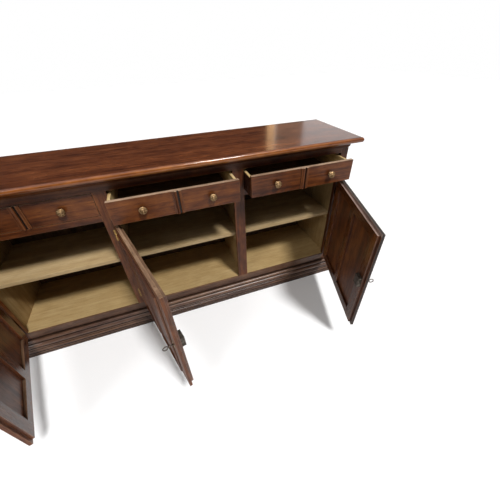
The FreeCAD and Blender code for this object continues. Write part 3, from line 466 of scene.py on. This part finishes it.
strip_wood, tree, place = new_material("strip_wood")
run = grain_first(tree, place, "ZXY")
look, pores = wood_look(tree, run, WALNUT_TONES, WALNUT_PORE)
# The quirk is painted black as painted shade.
quirk_shade = add(tree, "Attribute", attribute_name="painted_quirk_shade").outputs["Fac"]
quirk_shading = {0: quirk_shade, 6: worn_highlit_shaded(tree, look), 7: colour(SHADE_PAINT)}
strip_look = add(tree, "Mix", quirk_shading, data_type="RGBA").outputs[2]
edge_look = wood_look(tree, run, EDGE_TONES, WALNUT_PORE)[0]
topped = add(tree, "Mix", {0: faces_up(tree), 6: strip_look, 7: edge_look}, data_type="RGBA").outputs[2]
varnished(tree, topped, pores)
for bay, middle in DRAWERS.items():
    strip = skin(strip_rings(strip_outline(), middle, DRAWER_FACES[bay]))
    mesh = new_piece(f"strip_{bay}_beaded", [strip], strip_wood, f"drawer_{bay}",
                     [f"drawer_{bay}_strip"])
    across = (strip[0][:, 0] - middle) / MM
    out = (DRAWER_FACES[bay] - strip[0][:, 1]) / MM
    # Points in and beside the quirk carry the painted shade.
    beside_quirk = (across > QUIRK[0] - QUIRK_SHADE_MARGIN) & (across < QUIRK[1] + QUIRK_SHADE_MARGIN)
    in_quirk = beside_quirk & (out < QUIRK_OUT + QUIRK_SHADE_MARGIN)
    mesh.attributes.new("painted_quirk_shade", "FLOAT", "POINT").data.foreach_set("value", in_quirk.astype(np.float32))

# Drawer knobs.
# Turned brass, two to a drawer, screwed through the front from inside.
# A waisted neck and a mushroom head with rings round a raised centre, dull gold with brown blotches.
KNOB_SPREAD = 143.5 * MM
KNOB_HEIGHT = 769 * MM
KNOB_OUTLINE = [
    (0, 0), (0, 9.5), (1.9, 9.5), (2.8, 7.8), (4.2, 6.2), (7.5, 5.4), (10.5, 7.4),
    (13.4, 12.6), (15.8, 16.5), (18.2, 16.5), (20.6, 14.6), (22.2, 12.8), (21.2, 11.2), (20.8, 9.6),
    (22.4, 8.4), (23.4, 7.2), (22.4, 6.0), (22.8, 4.8), (24.4, 3.6), (25, 1.6), (25, 0),
]
BLOTCH_DETAIL = 4.0
DULL_AT, BRIGHT_AT = 0.38, 0.62
ROUGH_AT, SMOOTH_AT = 0.35, 0.65
TARNISH_ROUGHNESS = 0.15
PIT_DEPTH = 0.05
METAL_ARRIS = 0.4


def metal(name, bright, dull, roughness, spot_size):
    """A metal with blotches of tarnish of the given size in mm."""
    material, tree, place = new_material(name)
    blotch = streaks(tree, place, spot_size, spot_size, BLOTCH_DETAIL)
    tone = add(tree, "ValToRGB", {"Fac": blotch}, [(DULL_AT, dull), (BRIGHT_AT, bright)]).outputs[0]
    wear = {0: blotch, 1: ROUGH_AT, 2: SMOOTH_AT, 3: roughness + TARNISH_ROUGHNESS, 4: roughness}
    rough = add(tree, "MapRange", wear).outputs[0]
    surface(tree, {"Base Color": tone, "Metallic": 1.0, "Roughness": rough,
                   "Normal": softened(tree, blotch, PIT_DEPTH, METAL_ARRIS)})
    return material


def eased(outline):
    """The outline with every corner cut at a quarter of both its sides, twice; its ends stay."""
    points = np.array(outline, float)
    for _ in range(2):
        first, second = points[:-1], points[1:]
        cuts = np.stack([0.75 * first + 0.25 * second, 0.25 * first + 0.75 * second], 1).reshape(-1, 2)
        points = np.concatenate([points[:1], cuts, points[-1:]])
    return points


def turned(outline, base, outward, sides=40):
    """Rings of a turned piece: base + outward * h + r * (b cos t + c sin t), b and c across it."""
    height, radius = np.array(outline).T * MM
    outward = np.array(outward, float)
    across = np.cross(outward, (0.0, 0.0, 1.0))
    turn = np.linspace(0, 2 * np.pi, sides, endpoint=False)
    spoke = np.outer(np.cos(turn), across) + np.outer(np.sin(turn), np.cross(outward, across))
    axis = np.array(base) + height[:, None] * outward
    return axis[:, None] + radius[:, None, None] * spoke


aged_brass = metal("aged_brass", "#a88a66", "#6a5236", 0.38, 5)
for bay, middle in DRAWERS.items():
    knob_skins = []
    for side in (-1, 1):
        base = (middle + side * KNOB_SPREAD, DRAWER_FACES[bay], KNOB_HEIGHT)
        knob_skins.append(skin(turned(eased(KNOB_OUTLINE), base, (0, -1, 0))))
    dress(aged_brass, f"drawer_{bay}_knobs")
    new_piece(f"knobs_{bay}", knob_skins, aged_brass, f"drawer_{bay}",
              [f"drawer_{bay}_knobs"])

# Doors: frames, fielded panels and bolection mouldings.
# Walnut frames tenoned together, panels loose in their grooves and mouldings mitred on, all varnished.
# The wood is laid out in the open leaf's own axes; on the right leaf the lip is painted dark as painted
# shade and the step pale as a painted highlight.
DOORS = {
    "left": (-880 * MM, 1, 74),
    "middle": (-286 * MM, 1, 74),
    "right": (880 * MM, -1, 71),
}
HINGE_AXIS_Y = -201.5 * MM
HINGE_STILE_END = 72 * MM
LOCK_STILE_START = 500 * MM
LEAF_MIDDLE = (HINGE_STILE_END + LOCK_STILE_START) / 2
PANEL_SPAN = (LOCK_STILE_START - HINGE_STILE_END) / 2
MUNTIN_HALF = 22.5 * MM
PANEL_LOW = 192 * MM
PANEL_HIGH = 644 * MM
LIP_BACK = 6 * MM
OUTER_ROUGHNESS = 0.55
INNER_ROUGHNESS = 0.26
DOOR_LEVEL = 0.45
DOOR_EDGE_TONES = [(0.38, "#5c4232"), (0.50, "#7d6049"), (0.62, "#9a7c62")]
# On the right leaf only, the lip is painted dark as painted shade and the step pale as a painted
# highlight.
PAINTED_LIP_BAY = "right"
STEP_HIGHLIGHT_TONES = [(0.38, "#8d7468"), (0.50, "#a58b80"), (0.62, "#b8a095")]
LIP_SHADE = "#22130c"
LIP_EDGE = 5.5 * MM
STEP_TOP = 686.2 * MM


def leaf_place(tree, place, bay):
    """Coordinates in the leaf's own axes: along it from the hinge axis, its depth and its height."""
    x, hand, swing = DOORS[bay]
    turn = (0, 0, -hand * np.radians(swing))
    spot = {"Vector": place, "Location": (x, HINGE_AXIS_Y, 0), "Rotation": turn}
    return add(tree, "Mapping", spot, vector_type="TEXTURE").outputs[0]


def off_panels(tree, leaf, hand):
    """How far a point lies from the leaf's middle, and outside the nearest panel along it and up."""
    half_width = (PANEL_SPAN - MUNTIN_HALF) / 2
    leaf_centre = (hand * LEAF_MIDDLE, 0, (PANEL_LOW + PANEL_HIGH) / 2)
    from_leaf = add(tree, "VectorMath", {0: leaf, 1: leaf_centre}, operation="SUBTRACT").outputs[0]
    half_leaf = add(tree, "VectorMath", {0: from_leaf}, operation="ABSOLUTE").outputs[0]
    panel_centre = (MUNTIN_HALF + half_width, 0, 0)
    off_centre = {0: half_leaf, 1: panel_centre}
    from_panel = add(tree, "VectorMath", off_centre, operation="SUBTRACT").outputs[0]
    half_panel = add(tree, "VectorMath", {0: from_panel}, operation="ABSOLUTE").outputs[0]
    panel_size = (half_width, 0, (PANEL_HIGH - PANEL_LOW) / 2)
    outside = add(tree, "VectorMath", {0: half_panel, 1: panel_size}, operation="SUBTRACT").outputs[0]
    from_middle = add(tree, "SeparateXYZ", {"Vector": half_leaf}).outputs["X"]
    parts = add(tree, "SeparateXYZ", {"Vector": outside}).outputs
    return from_middle, parts["X"], parts["Z"]


def leaf_run(tree, leaf, hand, kind):
    """Coordinates along the grain: upright in stiles and panels, lying in rails and flat mouldings."""
    upright = grain_first(tree, leaf, "ZXY")
    if kind == "panels":
        return upright
    from_middle, beside, above = off_panels(tree, leaf, hand)
    if kind == "frame":
        inner = {0: from_middle, 1: PANEL_SPAN}
        between = add(tree, "Math", inner, operation="LESS_THAN").outputs[0]
        rail = add(tree, "Math", {0: above, 1: 0.0}, operation="GREATER_THAN").outputs[0]
        lying = add(tree, "Math", {0: between, 1: rail}, operation="MULTIPLY").outputs[0]
    else:
        lying = add(tree, "Math", {0: above, 1: beside}, operation="GREATER_THAN").outputs[0]
    flat = grain_first(tree, leaf, "XZY")
    return add(tree, "Mix", {0: lying, 4: upright, 5: flat}, data_type="VECTOR").outputs[1]


def bare_topped(tree, run, look):
    """A frame's look with its top edges rubbed bare."""
    bare = worn_highlit_shaded(tree, wood_look(tree, run, DOOR_EDGE_TONES, WALNUT_PORE)[0])
    return add(tree, "Mix", {0: faces_up(tree), 6: look, 7: bare}, data_type="RGBA").outputs[2]


def lip_shade_and_highlight(tree, run, parts, look):
    """A frame's look with the edges of its lip painted dark as painted shade, and the step behind its
    top pale as a painted highlight.
    """
    pale = wood_look(tree, run, STEP_HIGHLIGHT_TONES, WALNUT_PORE)[0]
    high = add(tree, "Math", {0: parts["Z"], 1: STEP_TOP}, operation="GREATER_THAN").outputs[0]
    behind = add(tree, "Math", {0: parts["Y"], 1: LIP_EDGE}, operation="GREATER_THAN").outputs[0]
    step = add(tree, "Math", {0: high, 1: behind}, operation="MULTIPLY").outputs[0]
    stepped = add(tree, "Mix", {0: step, 6: look, 7: pale}, data_type="RGBA").outputs[2]
    on_lip = add(tree, "Math", {0: parts["Y"], 1: 0.0, 2: LIP_EDGE}, operation="COMPARE").outputs[0]
    return add(tree, "Mix", {0: on_lip, 6: stepped, 7: colour(LIP_SHADE)}, data_type="RGBA").outputs[2]


def leaf_wood(name, bay, kind):
    """A leaf's walnut, rough on the outer side and smooth on the inner."""
    material, tree, place = new_material(name)
    leaf = leaf_place(tree, place, bay)
    run = leaf_run(tree, leaf, DOORS[bay][1], kind)
    parts = add(tree, "SeparateXYZ", {"Vector": leaf}).outputs
    look, pores = wood_look(tree, run, WALNUT_TONES, WALNUT_PORE)
    look = worn_highlit_shaded(tree, look)
    if kind == "frame" and bay == PAINTED_LIP_BAY:
        look = lip_shade_and_highlight(tree, run, parts, look)
    elif kind == "frame":
        look = bare_topped(tree, run, look)
    side = {0: parts["Y"], 1: LIP_BACK - MM, 2: LIP_BACK + MM, 3: OUTER_ROUGHNESS, 4: INNER_ROUGHNESS}
    varnished(tree, look, pores, add(tree, "MapRange", side).outputs[0], DOOR_LEVEL)
    return material


for bay in DOORS:
    for kind in ("frame", "panels", "mouldings"):
        dress(leaf_wood(f"door_{bay}_{kind}_wood", bay, kind), f"door_{bay}_{kind}")

# Hinges.
# Loose pin hinges of brass: one leaf on the face of the stile, the other on the edge of the door.
# Each leaf on a stile is held by two slotted screws; the brass is yellow and a little tarnished.
HINGE_FEET = (198 * MM, 578 * MM)
SCREW_LEVELS = {12 * MM: 0.6, 48 * MM: 0.8}
SCREW_OUT = 10 * MM
HINGE_PLATE_FRONT = -196.5 * MM
HINGE_SCREW = {"radius": 2.4 * MM, "rise": 0.9 * MM}
SLOT_HALF = 0.17
SLOT_WALL = 0.02
SLOT_FLOOR = 0.3


def screw_head(spot, outward, along, radius, rise):
    """Rings of a domed head: at u from -1 to 1 along the slot's cross axis, y = s cos t and
    z = rise * s * max(0, sin t) with s = sqrt(1 - u * u), pressed down inside the slot."""
    floor_edge = SLOT_HALF - SLOT_WALL
    dome = np.linspace(SLOT_HALF, 1, 6)
    u = np.concatenate([-dome[::-1], (-floor_edge, 0, floor_edge), dome])
    depth = np.where(np.abs(u) < SLOT_HALF - SLOT_WALL / 2, SLOT_FLOOR, 1.0)
    share = np.sqrt(1 - u * u)[:, None]
    turn = np.linspace(0, 2 * np.pi, 16, endpoint=False)
    outward, along = np.array(outward, float), np.array(along, float)
    flat = radius * share * np.cos(turn)
    high = rise * share * np.maximum(0, np.sin(turn)) * depth[:, None]
    cross = np.cross(outward, along)
    rings = np.array(spot) + (radius * u)[:, None, None] * along
    return rings + flat[..., None] * cross + high[..., None] * outward


hinge_brass = metal("hinge_brass", "#b08d55", "#7d6238", 0.32, 6)
dress(hinge_brass, "hinge_frame_leaves", *(f"door_{bay}_hinge_leaves" for bay in DOORS))
hinge_screws = []
for x, hand, _ in DOORS.values():
    for foot in HINGE_FEET:
        for level, tilt in SCREW_LEVELS.items():
            spot = (x - hand * SCREW_OUT, HINGE_PLATE_FRONT, foot + level)
            along = (np.cos(tilt * np.pi), 0, np.sin(tilt * np.pi))
            hinge_screws.append(skin(screw_head(spot, (0, -1, 0), along, **HINGE_SCREW)))
new_piece("hinge_screws", hinge_screws, hinge_brass, "carcass")

# Locks, bolts, keys and keyhole plates.
# Iron rim locks, dark and blotched, each held behind the lock stile by four screws, with a flat bolt.
# A pipe key of grey steel with a ring bow stands in a brass plate with clipped corners on the face.
KEY_ALONG = 531.5 * MM
KEY_HEIGHT = 418 * MM
LOCK_BACK = 33 * MM
LOCK_SCREWS = [(along * MM, level * MM) for along in (516, 547) for level in (407, 447)]
LOCK_SCREW = {"radius": 2.6 * MM, "rise": 1.0 * MM}
BOW_MIDDLE = -38.5 * MM
BOW_RADIUS = 9.5 * MM
BOW_WIRE = 2.0 * MM
SHANK_OUTLINE = [
    (0, 0), (0, 2.2), (1.5, 3.0), (4, 2.7), (14.5, 2.7), (15.5, 4.5), (17.3, 4.5), (18.4, 2.8),
    (21, 2.8), (58.5, 2.8), (58.5, 0),
]
SHANK_START = -29 * MM
SHANK_SIDES = 24
BIT_DEPTH = (22 * MM, 28 * MM)
BIT_DROP = (409 * MM, 417 * MM)
BIT_HALF = 1.1 * MM


def leaf_to_world(bay, along, depth, height):
    """Points given along the leaf, in its depth and in height, turned about the hinge axis at rest."""
    x, hand, swing = DOORS[bay]
    turn = -hand * np.radians(swing)
    along = np.asarray(along) * hand
    east = x + along * np.cos(turn) - depth * np.sin(turn)
    north = HINGE_AXIS_Y + along * np.sin(turn) + depth * np.cos(turn)
    return np.stack(np.broadcast_arrays(east, north, height), -1)


def ring_bow(bay):
    """Rings of a torus square to the leaf: (R + r cos b) round the eye and r sin b along the leaf."""
    round_eye = np.linspace(0, 2 * np.pi, 48, endpoint=False)[:, None]
    round_wire = np.linspace(0, 2 * np.pi, 16, endpoint=False)
    reach = BOW_RADIUS + BOW_WIRE * np.cos(round_wire)
    depth = BOW_MIDDLE + reach * np.cos(round_eye)
    height = KEY_HEIGHT + reach * np.sin(round_eye)
    return leaf_to_world(bay, KEY_ALONG + BOW_WIRE * np.sin(round_wire), depth, height)


def key_bit(bay):
    """Rings of the flat bit: a rectangle in depth and height on each side, closed at its middle."""
    corner = np.array([[-1, -1], [1, -1], [1, 1], [-1, 1]]) / 2
    grown = np.array([0, 1, 1, 0])[:, None]
    depth = np.mean(BIT_DEPTH) + grown * corner[:, 0] * np.ptp(BIT_DEPTH)
    height = np.mean(BIT_DROP) + grown * corner[:, 1] * np.ptp(BIT_DROP)
    along = KEY_ALONG + np.array([-1, -1, 1, 1])[:, None] * BIT_HALF
    return leaf_to_world(bay, along, depth, height)


lock_iron = metal("lock_iron", "#5d564e", "#3a332c", 0.45, 9)
key_steel = metal("key_steel", "#6e645b", "#40372f", 0.38, 5)
for bay in DOORS:
    dress(lock_iron, f"door_{bay}_lock_case", f"door_{bay}_lock_bolt")
    dress(key_steel, f"door_{bay}_key")
    dress(aged_brass, f"door_{bay}_keyhole_plate")
    inward = leaf_to_world(bay, 0, 1.0, 0) - leaf_to_world(bay, 0, 0.0, 0)
    lengthwise = leaf_to_world(bay, 1.0, 0, 0) - leaf_to_world(bay, 0.0, 0, 0)
    shank_base = leaf_to_world(bay, KEY_ALONG, SHANK_START, KEY_HEIGHT)
    shank = turned(eased(SHANK_OUTLINE), shank_base, inward, SHANK_SIDES)
    key_skins = [skin(ring_bow(bay), "joined"), skin(shank), skin(key_bit(bay))]
    new_piece(f"key_{bay}_turned", key_skins, key_steel, f"key_{bay}", [f"door_{bay}_key"])
    lock_screws = []
    for along, height in LOCK_SCREWS:
        spot = leaf_to_world(bay, along, LOCK_BACK, height)
        lock_screws.append(skin(screw_head(spot, inward, lengthwise, **LOCK_SCREW)))
    new_piece(f"lock_screws_{bay}", lock_screws, lock_iron, f"door_{bay}")

# Top.
# One walnut board with its grain along the cabinet, screwed down from below.
# Rubbed to a gloss that mirrors the room, with a round nose painted orange as a painted highlight.
TOP_TONES = [(0.37, "#3d1a0d"), (0.50, "#66351c"), (0.63, "#824a29")]
NOSE_HIGHLIGHT_TONES = [(0.37, "#6b3512"), (0.50, "#8f5223"), (0.63, "#a9692f")]
TOP_ROUGHNESS = 0.12
TOP_LEVEL = 0.5
NOSE_HIGHLIGHT_STARTS, NOSE_HIGHLIGHT_FULL = 0.98, 0.75
top_wood, tree, place = new_material("walnut_top")
run = grain_first(tree, place, "XYZ")
look, pores = wood_look(tree, run, TOP_TONES, WALNUT_PORE)
nose_highlight_look = wood_look(tree, run, NOSE_HIGHLIGHT_TONES, WALNUT_PORE)[0]
# The nose is painted orange as a painted highlight where its normal turns from upright.
smooth_normal = add(tree, "NewGeometry").outputs["Normal"]
slope = add(tree, "SeparateXYZ", {"Vector": smooth_normal}).outputs["Z"]
nose_highlight = add(tree, "MapRange", {0: slope, 1: NOSE_HIGHLIGHT_STARTS, 2: NOSE_HIGHLIGHT_FULL}).outputs[0]
top_look = add(tree, "Mix", {0: nose_highlight, 6: look, 7: nose_highlight_look}, data_type="RGBA").outputs[2]
varnished(tree, top_look, pores, TOP_ROUGHNESS, TOP_LEVEL)
dress(top_wood, "top_board")

# Floor.
# A plain white studio floor, matt paint that keeps the shadows.
# It lights the piece only as much as a grey floor would, and is seen white.
FLOOR_REACH = 12.0
FLOOR_LIT = "#b0b0b0"
FLOOR_SEEN = "#ffffff"
FLOOR_ROUGHNESS = 0.8


def sheet_of(name, corners):
    """A flat rectangle through four corners in metres."""
    mesh = bpy.data.meshes.new(name)
    mesh.from_pydata(corners, [], [(0, 1, 2, 3)])
    made = bpy.data.objects.new(name, mesh)
    bpy.context.scene.collection.objects.link(made)
    return made


def seen_rays(tree):
    """1 for the rays of the camera and of reflections and glass, 0 for scattered light."""
    rays = add(tree, "LightPath").outputs
    mirrored = {0: rays["Is Camera Ray"], 1: rays["Is Glossy Ray"]}
    direct = add(tree, "Math", mirrored, operation="MAXIMUM").outputs[0]
    return add(tree, "Math", {0: direct, 1: rays["Is Transmission Ray"]}, operation="MAXIMUM").outputs[0]


floor = sheet_of("floor", [(-FLOOR_REACH, -FLOOR_REACH, 0), (FLOOR_REACH, -FLOOR_REACH, 0),
                           (FLOOR_REACH, FLOOR_REACH, 0), (-FLOOR_REACH, FLOOR_REACH, 0)])
floor_paint, tree, _ = new_material("floor_paint")
paint = {0: seen_rays(tree), 6: colour(FLOOR_LIT), 7: colour(FLOOR_SEEN)}
floor_look = add(tree, "Mix", paint, data_type="RGBA").outputs[2]
surface(tree, {"Base Color": floor_look, "Roughness": FLOOR_ROUGHNESS})
floor.data.materials.append(floor_paint)

# Studio light.
# A white room, a broad light from the front right, a weaker one from the left and a wide one overhead.
# All are far off, so the light is even over the whole piece.
ROOM_LIGHT = 0.14
world = bpy.data.worlds.new("studio")
bpy.context.scene.world = world
world.use_nodes = True
tree = world.node_tree
tree.nodes.clear()
level = add(tree, "MapRange", {0: seen_rays(tree), 3: ROOM_LIGHT, 4: 1.0}).outputs[0]
sky = add(tree, "Background", {"Color": colour("#ffffff"), "Strength": level})
add(tree, "OutputWorld", {"Surface": sky.outputs[0]})
for name, towards, spread, strength in (
    ("key", (0.22, -0.5, 0.84), 10, 2.9),
    ("fill", (-0.55, -0.45, 0.70), 20, 0.6),
    ("overhead", (0.0, -0.1, 1.0), 60, 0.3),
):
    lamp = bpy.data.lights.new(name, "SUN")
    lamp.angle = np.radians(spread)
    lamp.energy = strength
    light = bpy.data.objects.new(name, lamp)
    light.rotation_euler = Vector(towards).to_track_quat("Z", "Y").to_euler()
    bpy.context.scene.collection.objects.link(light)

# Cloths and a lit screen, seen in reflections only.
# Dark cloth on frames behind the piece and behind the camera keeps the varnish from going milky.
# The narrow warm screen beside them gives the bright band across the top.
CLOTH_ROUGHNESS = 0.9
for name, west, east, north, low, high, code, glow in (
    ("cloth_behind", -4.0, 1.58, 2.4, 0.7, 4.0, "#1c1a18", 0.0),
    ("screen", 1.58, 1.70, 2.4, 0.7, 4.0, "#ffd09a", 0.85),
    ("cloth_beside", 1.72, 2.17, 2.4, 0.7, 4.0, "#a09080", 0.0),
    ("cloth_front", -5.0, 5.0, -4.5, 0.5, 5.0, "#1c1a18", 0.0),
):
    cloth = sheet_of(name, [(west, north, low), (east, north, low),
                            (east, north, high), (west, north, high)])
    weave, tree, _ = new_material(f"{name}_weave")
    surface(tree, {"Base Color": colour(code), "Roughness": CLOTH_ROUGHNESS,
                   "Emission Color": colour(code), "Emission Strength": glow})
    cloth.data.materials.append(weave)
    cloth.visible_camera = False
    cloth.visible_diffuse = False
    cloth.visible_shadow = False
    cloth.visible_transmission = False

# Camera.
# Fitted to edges and corners of the photo: its focal length in pixels, its three angles and its place.
# The picture is taken as 500 by 500 pixels.
FOCAL_PIXELS = 260.929
PICTURE_PIXELS = 500
SENSOR = 36
PITCH, YAW, ROLL = np.radians((38.4914, 19.4322, -1.6143))
CAMERA_PLACE = (-0.0518, -1.32196, 1.28108)
forward = Vector((np.sin(YAW) * np.cos(PITCH), np.cos(YAW) * np.cos(PITCH), -np.sin(PITCH)))
level_right = Vector((np.cos(YAW), -np.sin(YAW), 0))
level_up = level_right.cross(forward)
right = level_right * np.cos(ROLL) + level_up * np.sin(ROLL)
upward = level_up * np.cos(ROLL) - level_right * np.sin(ROLL)
eye = bpy.data.cameras.new("camera")
eye.lens = SENSOR * FOCAL_PIXELS / PICTURE_PIXELS
eye.sensor_width = SENSOR
camera = bpy.data.objects.new("camera", eye)
camera.matrix_world = Matrix((right, upward, -forward)).transposed().to_4x4()
camera.location = CAMERA_PLACE
bpy.context.scene.collection.objects.link(camera)
bpy.context.scene.camera = camera
bpy.context.scene.view_settings.view_transform = "Standard"
